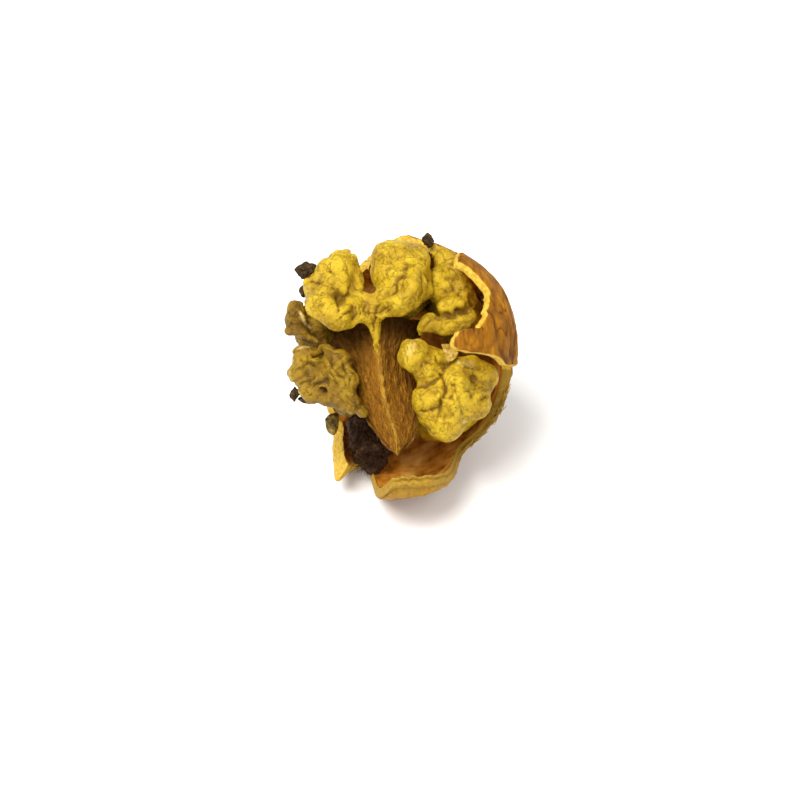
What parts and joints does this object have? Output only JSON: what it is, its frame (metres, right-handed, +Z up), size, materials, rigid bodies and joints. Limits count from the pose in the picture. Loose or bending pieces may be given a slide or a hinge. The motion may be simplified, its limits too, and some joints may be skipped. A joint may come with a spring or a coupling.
{
  "type": "cracked walnut",
  "caption": "Walnut cracked open on one side: broken rounded shell holding its wrinkled lobed kernel and the woody partition between the lobes.",
  "frame": {"origin": "centre of the small flat under the shell that the nut stands on", "axes": "+Z up, the open face looks toward -Y and up, +X to the right of the open face"},
  "size_m": [0.0368, 0.0416, 0.0393],
  "materials": {
    "shell": "dry woody shell, netted grooves, satin",
    "kernel": "thin oily skin, satin",
    "partition": "fibrous, dull",
    "packing": "dry fibre, dull",
    "scrap": "papery, satin",
    "crumb": "dried husk, dull"
  },
  "bodies": {
    "root": {"shell_bowl": "shell", "shell_shard": "shell", "kernel_top_half": "kernel", "kernel_right_lobe": "kernel", "kernel_lower_right_lobe": "kernel", "kernel_lower_left_lobe": "kernel", "kernel_side_lobe": "kernel", "central_partition": "partition", "inner_packing": "packing", "skin_flake": "scrap", "husk_chip": "scrap", "dried_crumb_upper_left": "crumb", "dried_crumb_left": "crumb", "dried_crumb_top": "crumb", "dried_crumb_lower_left": "crumb", "dried_crumb_low": "crumb"}
  },
  "joints": []
}
